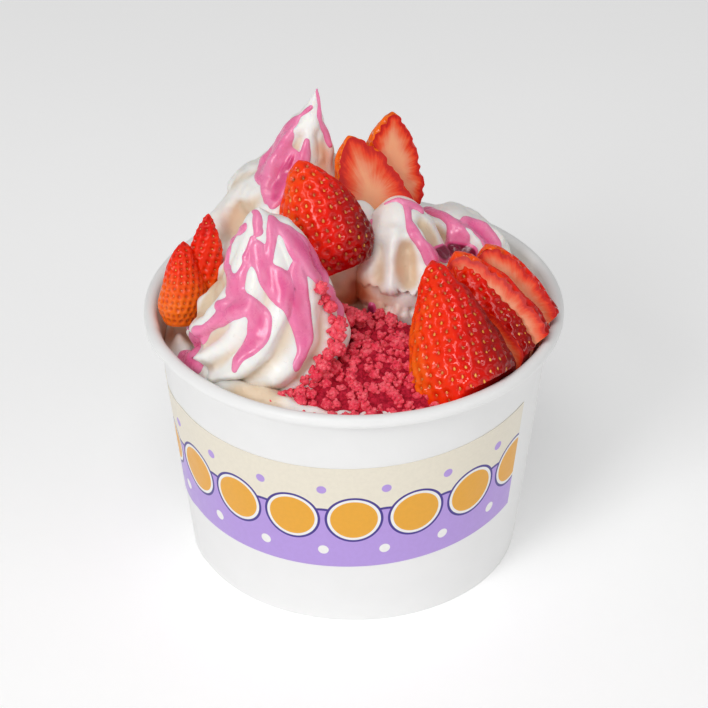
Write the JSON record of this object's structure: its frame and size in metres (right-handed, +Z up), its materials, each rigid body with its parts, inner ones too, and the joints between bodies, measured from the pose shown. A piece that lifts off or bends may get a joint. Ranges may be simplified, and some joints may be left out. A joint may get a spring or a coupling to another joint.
{
  "type": "frozen yogurt cup",
  "caption": "Round paper cup heaped with piped soft-serve frozen yogurt peaks, sliced strawberries and a red berry crumble, with a plain printed band round the wall.",
  "frame": {"origin": "centre of the cup's foot ring, on the surface it stands on", "axes": "+Z up the cup's axis, the longest side; the front peak and the crumble face -Y"},
  "size_m": [0.115, 0.115, 0.13],
  "materials": {
    "paper": "satin",
    "label": "satin",
    "yogurt": "satin",
    "strawberry": "gloss",
    "crumble": "matte"
  },
  "bodies": {
    "root": {"berry_back_half": "strawberry", "berry_centre_half": "strawberry", "berry_left_slice": "strawberry", "berry_left_wedge": "strawberry", "berry_right_half": "strawberry", "berry_right_slice_far": "strawberry", "berry_right_slice_mid": "strawberry", "berry_right_slice_near": "strawberry", "berry_top_half": "strawberry", "crumble_heap": "crumble", "cup_bottom": "paper", "cup_label": "label", "cup_wall": "paper", "curl_side": "yogurt", "peak_back": "yogurt", "peak_front": "yogurt", "peak_right": "yogurt", "yogurt_base": "yogurt"}
  },
  "joints": []
}
